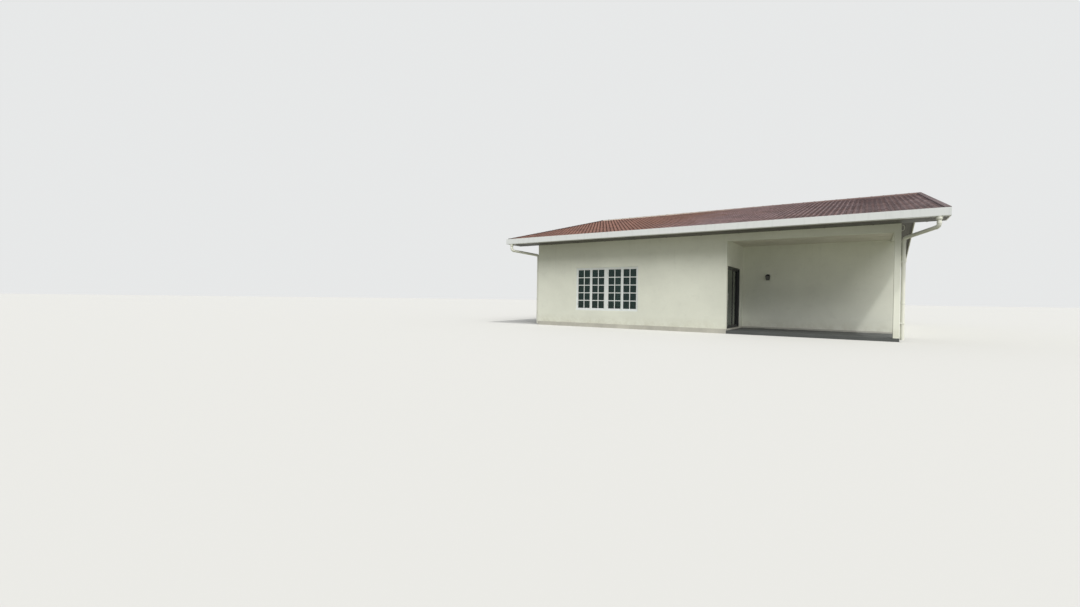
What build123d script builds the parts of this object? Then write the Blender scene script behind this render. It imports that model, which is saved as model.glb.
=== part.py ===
from build123d import *
import os
from math import cos, radians, tan

# Single-storey bungalow: rendered masonry walls on a low floor slab, a recessed
# corner porch with one slim column, white casement windows, a sliding glass door,
# and a low gabled roof with boxed eaves, box gutters and cranked downpipes.
#
# Frame: millimetres. X runs along the front, to the right as seen from the street.
# Y runs from the street into the house. Z is up. The origin is on the ground, in
# the middle of the plan.

os.makedirs("parts", exist_ok=True)

# Plan sizes
room_width = 7500  # front room wall, left corner to the porch
porch_width = 4600  # porch, room wall to the outer face of the column
house_depth = 15200
porch_depth = 2500  # front wall face to the face of the porch back wall
wall = 150  # masonry thickness
column = 150  # square porch column
column_edge = 5  # bevel of its corners

# Levels above the ground
floor_top = 150
porch_floor_top = 100
ceiling_height = 2950  # above the floor
porch_beam_drop = 50  # beams hang this far below the porch ceiling
soffit_level = 3285
eave_top = 3510  # top of the roof covering at the eave

# Roof
pitch = 13
eave_over = 800  # wall face to the end of the roof slab
verge_over = 950  # side wall face to the outer face of the bargeboards
roof_thickness = 80  # square to the slope
tile_layer = 40  # the upper part of it, the tiles on their battens
tile_over = 60  # tiles overhang the roof boarding by this much, into the gutter
board = 25  # fascia and bargeboard thickness
soffit_board = 9
ceiling_board = 12
ridge_radius = 110
ridge_rise = 42  # top of the ridge cap above the roof covering
ridge_shell = 15

# Gutters and downpipes
gutter_width = 150
gutter_top = 3490
gutter_back = 150  # height of its back, which ends below the tiles
gutter_sheet = 3
gutter_lip = 18
gutter_corner = 8  # outside radius of the folds
lip_fold = 4
pipe_radius = 50
collar_radius = 72  # outlet collar at the head of a downpipe
collar_depth = 70
outlet_from_end = 230  # gutter end to the pipe centre
pipe_bend = 90
pipe_foot = 60  # foot above the ground
pipe_stand_off = 12  # clear space between pipe and wall
crank_drop = 255  # gutter bottom to the upper bend
crank_fall = 155  # upper bend to lower bend
clip_height = 35
clip_edge = 5  # width of a clip past the pipe
clip_corner = 25  # bevel of its two outer corners
clip_levels = (500, 2200)

# Windows
window_height = 1650
window_sill = 500  # above the floor
front_window_width = 2600
front_window_offset = 1800  # left corner to the window
front_casement_pairs = 2
side_window_width = 1400
side_casement_pairs = 1  # in each side or rear window
side_windows = 3  # on each side wall
rear_windows = 2
window_frame = 50
window_depth = 70
window_reveal = 30  # frame set back from the wall face
centre_post = 110
mullion = 30
sash_stile = 35
sash_depth = 36
sash_fit = 0.5
glass = 5

# Sliding door in the side wall of the porch
door_height = 2100
sliding_width = 1900
slider_frame = 45
slider_sill = 30
slider_depth = 110
panel_width = 925
panel_thickness = 34
panel_stile = 55
track_gap = 10  # between the two panels
panel_clearance = 6  # leaf to head, jamb and rail
rail_height = 8
rail_width = 6
roller_radius = 14
roller_width = 10
roller_clearance = 0.3

# Rear door
rear_door_width = 900
rear_door_frame = 60
rear_door_thickness = 40
rear_door_offset = 2600  # right corner to the door, seen from the street
rear_door_depth = 90
door_recess = 8  # sunk panels of the rear door
door_rail = 110
knob_radius = 26
knob_stem = 16  # width of its square stem
knob_reach = 26  # door face to the back of the knob
knob_depth = 32

# Porch wall light
light_from_room = 860  # room wall to the middle of the light
light_level = 1700  # underside above the floor
light_width = 160
light_height = 210
light_depth = 128
light_plate = 12  # thickness of its back plate
light_plate_width = 96
light_plate_corner = 12
light_foot_width = 88  # the lantern body widens from foot to cap
light_head_width = 136
light_cap_height = 63
light_cap_lean = 36  # its faces lean in this much from upright

# Places worked out from the sizes above
house_width = room_width + porch_width
x_left = -house_width / 2
x_right = house_width / 2
x_porch = x_left + room_width
y_front = -house_depth / 2
y_back = house_depth / 2
y_porch = y_front + porch_depth
slope = tan(radians(pitch))
y_eave = y_front - eave_over
roof_vertical = roof_thickness / cos(radians(pitch))
tile_vertical = tile_layer / cos(radians(pitch))
ridge_top = eave_top - y_eave * slope
ceiling = floor_top + ceiling_height
beam_bottom = ceiling - porch_beam_drop
x_verge = x_right + verge_over
x_slab = x_verge - board
y_gutter = y_eave - board
sill_level = floor_top + window_sill


def roof_top(y):
    """Height of the roof covering at a distance y from the ridge line."""
    return ridge_top - abs(y) * slope


def tiles_under(y):
    """Height of the underside of the tile layer."""
    return roof_top(y) - tile_vertical


def roof_under(y):
    """Height of the underside of the roof slabs."""
    return roof_top(y) - roof_vertical


def slab(x0, x1, y0, y1, z0, z1):
    """A plain board or slab between two corners."""
    with BuildPart() as piece:
        with BuildSketch(Plane.XY.offset(z0)):
            with Locations(((x0 + x1) / 2, (y0 + y1) / 2)):
                Rectangle(x1 - x0, y1 - y0)
        extrude(amount=z1 - z0)
    return piece.part


def across(x0, x1, outline):
    """A profile of (y, z) points carried across the house from x0 to x1."""
    with BuildPart() as piece:
        with BuildSketch(Plane.YZ.offset(x0)):
            with BuildLine():
                Polyline(*outline, close=True)
            make_face()
        extrude(amount=x1 - x0)
    return piece.part


def mirrored(part):
    """The same piece on the other side of the ridge line."""
    return mirror(part, about=Plane.XZ)


def save(part, name):
    """Label a finished piece and write its file."""
    part.label = name
    export_step(part, f"parts/{name}.step")


# Floor slabs
with BuildPart() as floor_slab:
    with BuildSketch():
        Rectangle(house_width, house_depth)
        with Locations((x_porch, y_front)):
            Rectangle(porch_width, porch_depth, align=(Align.MIN, Align.MIN), mode=Mode.SUBTRACT)
    extrude(amount=floor_top)
save(floor_slab.part, "floor_slab")

save(slab(x_porch, x_right, y_front, y_porch, 0, porch_floor_top), "porch_floor")


# Walls. Side walls run the full depth and carry the gables, and the front and
# rear walls stand between them with their tops cut to the roof slope.
def window_centres(count, start, end):
    """Evenly spaced window centres along a stretch of wall."""
    bay = (end - start) / count
    return [start + bay * (i + 0.5) for i in range(count)]


front_windows = [x_left + front_window_offset + front_window_width / 2]
left_windows = window_centres(side_windows, y_front, y_back)
right_windows = window_centres(side_windows, y_porch, y_back)
rear_door_x = x_right - rear_door_offset
back_windows = window_centres(rear_windows, x_left, rear_door_x - rear_door_width)


def cut_windows(centres, width):
    """Window openings in the sketch that is being drawn, at their sill level."""
    with Locations(*[(c, sill_level) for c in centres]):
        Rectangle(width, window_height, align=(Align.CENTER, Align.MIN), mode=Mode.SUBTRACT)


def long_wall(y_face, x0, x1, bottom):
    """Front or rear wall blank: outer face at y_face, top cut to the roof slope."""
    y_in = y_face + wall if y_face < 0 else y_face - wall
    return across(
        x0,
        x1,
        [(y_face, bottom), (y_in, bottom), (y_in, roof_under(y_in)), (y_face, roof_under(y_face))],
    )


with BuildPart() as front_wall:
    add(long_wall(y_front, x_left + wall, x_porch, floor_top))
    with BuildSketch(Plane.XZ.offset(-y_front)):
        with Locations(*[(c, sill_level) for c in front_windows]):
            Rectangle(front_window_width, window_height, align=(Align.CENTER, Align.MIN))
    extrude(amount=-wall, mode=Mode.SUBTRACT)
save(front_wall.part, "front_wall")

with BuildPart() as rear_wall:
    add(long_wall(y_back, x_left + wall, x_right - wall, floor_top))
    with BuildSketch(Plane.XZ.offset(-y_back)):
        with Locations(*[(c, sill_level) for c in back_windows]):
            Rectangle(side_window_width, window_height, align=(Align.CENTER, Align.MIN))
        with Locations((rear_door_x, floor_top)):
            Rectangle(rear_door_width, door_height, align=(Align.CENTER, Align.MIN))
    extrude(amount=wall, mode=Mode.SUBTRACT)
save(rear_wall.part, "rear_wall")

with BuildPart() as left_wall:
    with BuildSketch(Plane.YZ.offset(x_left)):
        with BuildLine():
            Polyline(
                (y_front, floor_top),
                (y_back, floor_top),
                (y_back, roof_under(y_back)),
                (0, roof_under(0)),
                (y_front, roof_under(y_front)),
                close=True,
            )
        make_face()
        cut_windows(left_windows, side_window_width)
    extrude(amount=wall)
save(left_wall.part, "left_wall")

with BuildPart() as right_wall:
    with BuildSketch(Plane.YZ.offset(x_right - wall)):
        with BuildLine():
            Polyline(
                (y_porch, floor_top),
                (y_back, floor_top),
                (y_back, roof_under(y_back)),
                (0, roof_under(0)),
                (y_porch, roof_under(y_porch)),
                close=True,
            )
        make_face()
        cut_windows(right_windows, side_window_width)
    extrude(amount=wall)
save(right_wall.part, "right_wall")

# Porch walls, split beside and over the sliding door
door_start = y_front + wall
door_end = door_start + sliding_width
door_head = floor_top + door_height
save(slab(x_porch, x_right - wall, y_porch, y_porch + wall, floor_top, ceiling), "porch_back_wall")
save(slab(x_porch - wall, x_porch, door_end, y_porch + wall, floor_top, ceiling), "porch_side_wall")
save(slab(x_porch - wall, x_porch, door_start, door_end, door_head, ceiling), "porch_door_lintel")

# Porch beams and column
save(long_wall(y_front, x_porch, x_right - wall, beam_bottom), "porch_front_beam")
save(
    across(
        x_right - wall,
        x_right,
        [
            (y_front, beam_bottom),
            (y_porch, beam_bottom),
            (y_porch, roof_under(y_porch)),
            (y_front, roof_under(y_front)),
        ],
    ),
    "porch_side_beam",
)

with BuildPart() as porch_column:
    with BuildSketch(Plane.XY.offset(porch_floor_top)):
        with Locations((x_right, y_front)):
            Rectangle(column, column, align=(Align.MAX, Align.MIN))
    extrude(amount=beam_bottom - porch_floor_top)
    chamfer(porch_column.edges().filter_by(Axis.Z), length=column_edge)
save(porch_column.part, "porch_column")

# Ceilings
with BuildPart() as room_ceiling:
    with BuildSketch(Plane.XY.offset(ceiling)):
        Rectangle(house_width - 2 * wall, house_depth - 2 * wall)
        with Locations((x_porch, y_front)):
            Rectangle(porch_width, porch_depth, align=(Align.MIN, Align.MIN), mode=Mode.SUBTRACT)
    extrude(amount=ceiling_board)
save(room_ceiling.part, "room_ceiling")

save(
    slab(x_porch, x_right - wall, y_front + wall, y_porch, ceiling, ceiling + ceiling_board),
    "porch_ceiling",
)

# Roof slopes, plumb cut at eave and ridge. The boarding ends behind the fascia and
# between the bargeboards. The tile layer covers both and overhangs the gutter.
def roof_band(x_end, y_start, y_stop, under):
    """A band of a slope between two distances from the ridge line, up to the tile tops."""
    return across(
        -x_end,
        x_end,
        [
            (y_start, under(y_start)),
            (y_stop, under(y_stop)),
            (y_stop, roof_top(y_stop)),
            (y_start, roof_top(y_start)),
        ],
    )


with BuildPart() as front_slope:
    add(roof_band(x_slab, y_eave, 0, roof_under))
    add(roof_band(x_verge, y_gutter, 0, tiles_under))
    add(roof_band(x_slab, y_eave - tile_over, y_gutter, tiles_under))
save(front_slope.part, "front_roof_slope")
save(mirrored(front_slope.part), "rear_roof_slope")

# Ridge cap: a barrel of one radius, bedded astride the two slopes. The part of the
# barrel that would lie in the roof is cut away by an outline reaching clear of it.
clear_of_cap = 2 * ridge_radius
with BuildPart() as ridge_cap:
    with BuildSketch(Plane.YZ.offset(-x_verge)):
        with Locations((0, ridge_top + ridge_rise - ridge_radius)):
            Circle(ridge_radius)
            Circle(ridge_radius - ridge_shell, mode=Mode.SUBTRACT)
        with BuildLine():
            Polyline(
                (0, ridge_top),
                (clear_of_cap, roof_top(clear_of_cap)),
                (clear_of_cap, ridge_top - clear_of_cap),
                (-clear_of_cap, ridge_top - clear_of_cap),
                (-clear_of_cap, roof_top(clear_of_cap)),
                close=True,
            )
        make_face(mode=Mode.SUBTRACT)
    extrude(amount=2 * x_verge)
save(ridge_cap.part, "ridge_cap")


# Bargeboards: one chevron under the tiles at each end of the roof, widened at its
# feet to close the ends of the boxed eaves
def bargeboards(x0):
    """The boards of one gable."""
    drop = eave_top - soffit_level
    street_end = [
        (y_gutter, tiles_under(y_gutter)),
        (y_gutter, soffit_level),
        (y_front, soffit_level),
        (y_front, roof_top(y_front) - drop),
    ]
    garden_end = [(-y, z) for y, z in reversed(street_end)]
    under_ridge = (0, roof_top(0) - drop)
    return across(x0, x0 + board, [*street_end, under_ridge, *garden_end, (0, tiles_under(0))])


# Fascias and boxed eaves
front_fascia = across(
    -x_slab,
    x_slab,
    [
        (y_gutter, soffit_level),
        (y_eave, soffit_level),
        (y_eave, tiles_under(y_eave)),
        (y_gutter, tiles_under(y_gutter)),
    ],
)
save(front_fascia, "front_fascia")
save(mirrored(front_fascia), "rear_fascia")

front_soffit = slab(-x_slab, x_slab, y_eave, y_front, soffit_level, soffit_level + soffit_board)
save(front_soffit, "front_soffit")
save(mirrored(front_soffit), "rear_soffit")

# Short boards that close the boxed eaves where they run past the side walls
with BuildPart() as eave_returns:
    box_floor = soffit_level + soffit_board
    for x0, x1 in ((-x_slab, x_left), (x_right, x_slab)):
        front_return = across(
            x0,
            x1,
            [
                (y_front - board, box_floor),
                (y_front, box_floor),
                (y_front, roof_under(y_front)),
                (y_front - board, roof_under(y_front - board)),
            ],
        )
        add(front_return)
        add(mirrored(front_return))
save(eave_returns.part, "eave_returns")

with BuildPart() as both_bargeboards:
    add(bargeboards(-x_verge))
    add(bargeboards(x_slab))
save(both_bargeboards.part, "bargeboards")

# Box gutters: folded sheet with a lip turned in along the front, and closed ends
gutter_face = y_gutter - gutter_width
with BuildPart() as front_gutter:
    with BuildSketch(Plane.YZ.offset(-x_verge)) as channel:
        with BuildLine():
            FilletPolyline(
                (y_gutter, soffit_level + gutter_back),
                (y_gutter, soffit_level),
                (gutter_face, soffit_level),
                (gutter_face, gutter_top),
                (gutter_face + gutter_lip, gutter_top),
                radius=[gutter_corner, gutter_corner, lip_fold],
            )
            offset(amount=gutter_sheet, side=Side.LEFT)
        make_face()
    extrude(amount=2 * x_verge)
    for x0 in (-x_verge, x_verge - gutter_sheet):
        with BuildSketch(Plane.YZ.offset(x0)):
            with Locations(((y_gutter + gutter_face) / 2, soffit_level)):
                Rectangle(
                    gutter_width - 2 * gutter_sheet,
                    gutter_top - soffit_level,
                    align=(Align.CENTER, Align.MIN),
                )
        extrude(amount=gutter_sheet)
save(front_gutter.part, "front_gutter")
save(mirrored(front_gutter.part), "rear_gutter")


# Downpipes: a collar under the gutter, a crank back to the wall, and block clips
def downpipe(side):
    """Front downpipe on one side of the house: side is -1 on the left, 1 on the right."""
    x_out = side * (x_verge - outlet_from_end)
    y_out = (y_gutter + gutter_face) / 2
    x_wall = side * x_right
    x_pipe = x_wall + side * (pipe_stand_off + pipe_radius)
    y_pipe = y_front + column / 2
    upper = soffit_level - crank_drop
    with BuildPart() as pipe:
        with BuildLine() as route:
            FilletPolyline(
                (x_out, y_out, soffit_level),
                (x_out, y_out, upper),
                (x_pipe, y_pipe, upper - crank_fall),
                (x_pipe, y_pipe, pipe_foot),
                radius=pipe_bend,
            )
        with BuildSketch(Plane.XY.offset(soffit_level)):
            with Locations((x_out, y_out)):
                Circle(pipe_radius)
        sweep(path=route.line)
        with BuildSketch(Plane.XY.offset(soffit_level - collar_depth)):
            with Locations((x_out, y_out)):
                Circle(collar_radius)
        extrude(amount=collar_depth)
        clip_reach = pipe_stand_off + 2 * pipe_radius + clip_edge
        for level in clip_levels:
            with BuildSketch(Plane.XY.offset(level)) as clip:
                with Locations((x_wall + side * clip_reach / 2, y_pipe)):
                    Rectangle(clip_reach, 2 * (pipe_radius + clip_edge))
                outer_corners = clip.vertices().sort_by(Axis.X, reverse=side > 0)[:2]
                chamfer(outer_corners, length=clip_corner)
            extrude(amount=clip_height)
    return pipe.part


left_pipe = downpipe(-1)
right_pipe = downpipe(1)
save(left_pipe, "front_left_downpipe")
save(right_pipe, "front_right_downpipe")

with BuildPart() as rear_downpipes:
    add(mirrored(left_pipe))
    add(mirrored(right_pipe))
save(rear_downpipes.part, "rear_downpipes")


# Casement windows. Each one is drawn in a plane that faces out of the wall, with its
# origin at the middle of the sill.
def street_side(x):
    return Plane(origin=(x, y_front, sill_level), x_dir=(1, 0, 0), z_dir=(0, -1, 0))


def garden_side(x):
    return Plane(origin=(x, y_back, sill_level), x_dir=(-1, 0, 0), z_dir=(0, 1, 0))


def left_side(y):
    return Plane(origin=(x_left, y, sill_level), x_dir=(0, -1, 0), z_dir=(-1, 0, 0))


def right_side(y):
    return Plane(origin=(x_right, y, sill_level), x_dir=(0, 1, 0), z_dir=(1, 0, 0))


casement_height = window_height - 2 * window_frame


def casements(width, pairs):
    """Width of each sash opening, and the middles of all of them."""
    pair = (width - 2 * window_frame - (pairs - 1) * centre_post) / pairs
    opening = (pair - mullion) / 2
    step = pair + centre_post
    middles = [step * (i - (pairs - 1) / 2) for i in range(pairs)]
    shift = (opening + mullion) / 2
    return opening, [m + s for m in middles for s in (-shift, shift)]


def window_frames(planes, width, pairs):
    """Outer frames with their mullions, one for each plane."""
    opening, centres = casements(width, pairs)
    with BuildPart() as frames:
        for plane in planes:
            with BuildSketch(plane.offset(-window_reveal)):
                Rectangle(width, window_height, align=(Align.CENTER, Align.MIN))
                with Locations(*[(c, window_frame) for c in centres]):
                    Rectangle(
                        opening,
                        casement_height,
                        align=(Align.CENTER, Align.MIN),
                        mode=Mode.SUBTRACT,
                    )
            extrude(amount=-window_depth)
    return frames.part


sash_set_back = window_reveal + (window_depth - sash_depth) / 2


def window_sashes(planes, width, pairs):
    """The opening lights, each a plain ring that fits its opening."""
    opening, centres = casements(width, pairs)
    with BuildPart() as sashes:
        for plane in planes:
            with BuildSketch(plane.offset(-sash_set_back)):
                with Locations(*[(c, window_height / 2) for c in centres]):
                    Rectangle(opening - 2 * sash_fit, casement_height - 2 * sash_fit)
                    Rectangle(
                        opening - 2 * sash_stile,
                        casement_height - 2 * sash_stile,
                        mode=Mode.SUBTRACT,
                    )
            extrude(amount=-sash_depth)
    return sashes.part


def window_glass(planes, width, pairs):
    """One pane in each sash."""
    opening, centres = casements(width, pairs)
    set_back = sash_set_back + (sash_depth - glass) / 2
    with BuildPart() as panes:
        for plane in planes:
            with BuildSketch(plane.offset(-set_back)):
                with Locations(*[(c, window_height / 2) for c in centres]):
                    Rectangle(opening - 2 * sash_stile, casement_height - 2 * sash_stile)
            extrude(amount=-glass)
    return panes.part


elevations = {
    "front": (
        [street_side(x) for x in front_windows],
        front_window_width,
        front_casement_pairs,
    ),
    "side": (
        [left_side(y) for y in left_windows] + [right_side(y) for y in right_windows],
        side_window_width,
        side_casement_pairs,
    ),
    "rear": (
        [garden_side(x) for x in back_windows],
        side_window_width,
        side_casement_pairs,
    ),
}
for wall_name, layout in elevations.items():
    save(window_frames(*layout), f"{wall_name}_window_frames")
    save(window_sashes(*layout), f"{wall_name}_window_sashes")
    save(window_glass(*layout), f"{wall_name}_window_glass")

# Sliding door. The frame stands in the porch side wall, the fixed panel fills the
# far half and the leaf runs on a rail in front of it.
slider_middle = (door_start + door_end) / 2
slider_face = x_porch - (wall - slider_depth) / 2
clear_width = sliding_width - 2 * slider_frame
clear_height = door_height - slider_frame - slider_sill
sill_top = floor_top + slider_sill
x_track = x_porch - wall / 2
leaf_face = x_track + track_gap / 2 + panel_thickness
fixed_face = x_track - track_gap / 2
leaf_height = clear_height - rail_height - 2 * panel_clearance
leaf_bottom = sill_top + rail_height + panel_clearance
leaf_middle = door_start + slider_frame + panel_clearance + panel_width / 2
fixed_middle = door_end - slider_frame - panel_width / 2


def porch_side(x, y, z):
    """Plane of the sliding door: faces the porch, origin at the foot of a panel."""
    return Plane(origin=(x, y, z), x_dir=(0, 1, 0), z_dir=(1, 0, 0))


with BuildPart() as sliding_door_frame:
    with BuildSketch(porch_side(slider_face, slider_middle, floor_top)):
        Rectangle(sliding_width, door_height, align=(Align.CENTER, Align.MIN))
        with Locations((0, slider_sill)):
            Rectangle(
                clear_width,
                clear_height,
                align=(Align.CENTER, Align.MIN),
                mode=Mode.SUBTRACT,
            )
    extrude(amount=-slider_depth)
    with BuildSketch(Plane.XY.offset(sill_top)):
        with Locations((leaf_face - panel_thickness / 2, slider_middle)):
            Rectangle(rail_width, clear_width)
    extrude(amount=rail_height)
save(sliding_door_frame.part, "sliding_door_frame")


def glazed_panel(plane, height):
    """Stiles and rails of one door panel."""
    with BuildPart() as panel:
        with BuildSketch(plane):
            Rectangle(panel_width, height, align=(Align.CENTER, Align.MIN))
            with Locations((0, panel_stile)):
                Rectangle(
                    panel_width - 2 * panel_stile,
                    height - 2 * panel_stile,
                    align=(Align.CENTER, Align.MIN),
                    mode=Mode.SUBTRACT,
                )
        extrude(amount=-panel_thickness)
    return panel.part


def panel_glass(plane, height):
    """The pane of one door panel."""
    with BuildPart() as pane:
        with BuildSketch(plane.offset(-(panel_thickness - glass) / 2)):
            with Locations((0, panel_stile)):
                Rectangle(
                    panel_width - 2 * panel_stile,
                    height - 2 * panel_stile,
                    align=(Align.CENTER, Align.MIN),
                )
        extrude(amount=-glass)
    return pane.part


fixed_plane = porch_side(fixed_face, fixed_middle, sill_top)
leaf_plane = porch_side(leaf_face, leaf_middle, leaf_bottom)
save(glazed_panel(fixed_plane, clear_height), "sliding_door_fixed_panel")
save(panel_glass(fixed_plane, clear_height), "sliding_door_fixed_glass")
save(panel_glass(leaf_plane, leaf_height), "sliding_door_leaf_glass")

with BuildPart() as sliding_door_leaf:
    add(glazed_panel(leaf_plane, leaf_height))
    with BuildSketch(leaf_plane.offset(-(panel_thickness - roller_width) / 2)):
        roller_height = sill_top + rail_height + roller_clearance + roller_radius - leaf_bottom
        with Locations(
            (-panel_width / 2 + 2 * panel_stile, roller_height),
            (panel_width / 2 - 2 * panel_stile, roller_height),
        ):
            Circle(roller_radius)
    extrude(amount=-roller_width)
save(sliding_door_leaf.part, "sliding_door_leaf")

# Rear door: a frame on three sides and a leaf with two sunk panels
rear_plane = Plane(origin=(rear_door_x, y_back, floor_top), x_dir=(-1, 0, 0), z_dir=(0, 1, 0))
rear_leaf_width = rear_door_width - 2 * rear_door_frame
rear_leaf_height = door_height - rear_door_frame
with BuildPart() as rear_door_frame_piece:
    with BuildSketch(rear_plane.offset(-window_reveal)):
        Rectangle(rear_door_width, door_height, align=(Align.CENTER, Align.MIN))
        Rectangle(
            rear_leaf_width,
            rear_leaf_height,
            align=(Align.CENTER, Align.MIN),
            mode=Mode.SUBTRACT,
        )
    extrude(amount=-rear_door_depth)
save(rear_door_frame_piece.part, "rear_door_frame")

with BuildPart() as rear_door:
    with BuildSketch(rear_plane.offset(-2 * window_reveal)):
        with Locations((0, rear_leaf_height / 2)):
            Rectangle(rear_leaf_width - 2 * sash_fit, rear_leaf_height - 2 * sash_fit)
    extrude(amount=-rear_door_thickness)
    outer = rear_door.faces().sort_by(Axis.Y)[-1]
    panel_rise = (rear_leaf_height - 3 * door_rail) / 2
    knob_x = (rear_leaf_width - door_rail) / 2
    with BuildSketch(Plane(outer.center(), x_dir=(-1, 0, 0), z_dir=(0, 1, 0))):
        with GridLocations(0, panel_rise + door_rail, 1, 2):
            Rectangle(rear_leaf_width - 2 * door_rail, panel_rise)
    extrude(amount=-door_recess, mode=Mode.SUBTRACT)
    with Locations(Plane(outer.center(), x_dir=(-1, 0, 0), z_dir=(0, 1, 0))):
        with Locations((knob_x, 0, 0)):
            Box(knob_stem, knob_stem, knob_reach, align=(Align.CENTER, Align.CENTER, Align.MIN))
        with Locations((knob_x, 0, knob_reach)):
            Cylinder(knob_radius, knob_depth, align=(Align.CENTER, Align.CENTER, Align.MIN))
save(rear_door.part, "rear_door")

# Porch wall light: a tapered lantern with a hipped cap on a back plate
light_x = x_porch + light_from_room
light_z = floor_top + light_level
with BuildPart() as porch_wall_light:
    with BuildSketch(Plane.XZ.offset(-y_porch)):
        with Locations((light_x, light_z + light_height / 2)):
            RectangleRounded(light_plate_width, light_height, light_plate_corner)
    extrude(amount=light_plate)
    cap_level = light_z + light_height - light_cap_height
    with BuildSketch(Plane.XZ.offset(light_plate - y_porch)):
        with BuildLine():
            Polyline(
                (light_x - light_foot_width / 2, light_z),
                (light_x + light_foot_width / 2, light_z),
                (light_x + light_head_width / 2, cap_level),
                (light_x - light_head_width / 2, cap_level),
                close=True,
            )
        make_face()
    extrude(amount=light_depth)
    with BuildSketch(Plane.XY.offset(cap_level)):
        with Locations((light_x, y_porch - light_plate - light_depth / 2)):
            Rectangle(light_width, light_depth)
    extrude(amount=light_cap_height, taper=light_cap_lean)
save(porch_wall_light.part, "porch_wall_light")
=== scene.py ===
"""The look of the single-storey bungalow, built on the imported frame. All sizes are in metres."""

import math
import random

import bpy
from mathutils import Matrix, Vector


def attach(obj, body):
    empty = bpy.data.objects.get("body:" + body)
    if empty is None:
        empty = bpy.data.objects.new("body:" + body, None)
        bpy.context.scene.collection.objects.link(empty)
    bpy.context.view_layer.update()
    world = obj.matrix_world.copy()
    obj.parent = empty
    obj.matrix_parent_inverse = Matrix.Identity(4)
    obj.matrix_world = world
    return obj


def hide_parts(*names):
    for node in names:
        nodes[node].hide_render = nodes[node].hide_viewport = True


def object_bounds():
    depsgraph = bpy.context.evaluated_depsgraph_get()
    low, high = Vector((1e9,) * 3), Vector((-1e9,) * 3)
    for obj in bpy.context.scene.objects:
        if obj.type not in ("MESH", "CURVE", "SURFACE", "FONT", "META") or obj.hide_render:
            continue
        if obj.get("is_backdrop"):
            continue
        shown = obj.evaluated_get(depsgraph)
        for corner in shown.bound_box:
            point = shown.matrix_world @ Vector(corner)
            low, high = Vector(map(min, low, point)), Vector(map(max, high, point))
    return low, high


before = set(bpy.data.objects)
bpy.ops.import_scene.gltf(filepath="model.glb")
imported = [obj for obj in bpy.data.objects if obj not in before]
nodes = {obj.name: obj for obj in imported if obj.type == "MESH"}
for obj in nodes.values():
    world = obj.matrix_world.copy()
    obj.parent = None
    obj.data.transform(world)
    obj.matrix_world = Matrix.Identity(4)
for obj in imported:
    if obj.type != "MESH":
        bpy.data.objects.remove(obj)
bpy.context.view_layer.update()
random.seed(7)

# Sizes repeated from the part. The street is on the -Y side, and the porch takes up the
# corner between the faces of its two walls, X_PORCH and Y_PORCH, and the front and right.
X_LEFT, X_RIGHT, X_PORCH = -6.05, 6.05, 1.45
Y_FRONT, Y_BACK, Y_PORCH = -7.6, 7.6, -5.1
WALL = 0.15
FLOOR, CEILING = 0.15, 3.10
SOFFIT, EAVE_TOP, GUTTER_TOP = 3.285, 3.51, 3.49
PITCH = math.radians(13)
Y_EAVE, Y_FASCIA, Y_GUTTER = 8.4, 8.425, 8.575  # distances from the ridge line
X_SLAB, X_VERGE = 6.975, 7.0
RIDGE_TOP = EAVE_TOP + Y_EAVE * math.tan(PITCH)
SILL = FLOOR + 0.5
WINDOW_HEIGHT = 1.65

HAIR = 0.0002  # keeps an added piece just clear of its neighbour
SIDES = ((-1, "front"), (1, "rear"))
CORNERS = [(x, y) for x in (-1, 1) for y in (-1, 1)]


# Materials


def linear(rgb):
    """A colour as it is seen on screen, from 0 to 255, as the shader wants it."""
    out = []
    for c in rgb:
        c /= 255
        out.append(c / 12.92 if c <= 0.04045 else ((c + 0.055) / 1.055) ** 2.4)
    return (*out, 1.0)


def toned(rgb, share):
    """The same colour, darker or lighter."""
    return linear([c * share for c in rgb])


def mix_colours(tree):
    """A colour mix node, with its amount, both inputs and its output."""
    made = tree.nodes.new("ShaderNodeMix")
    made.data_type = "RGBA"
    # The node also has sockets for numbers and vectors, which come before those for colours
    return made, made.inputs[0], made.inputs[6], made.inputs[7], made.outputs[2]


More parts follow.
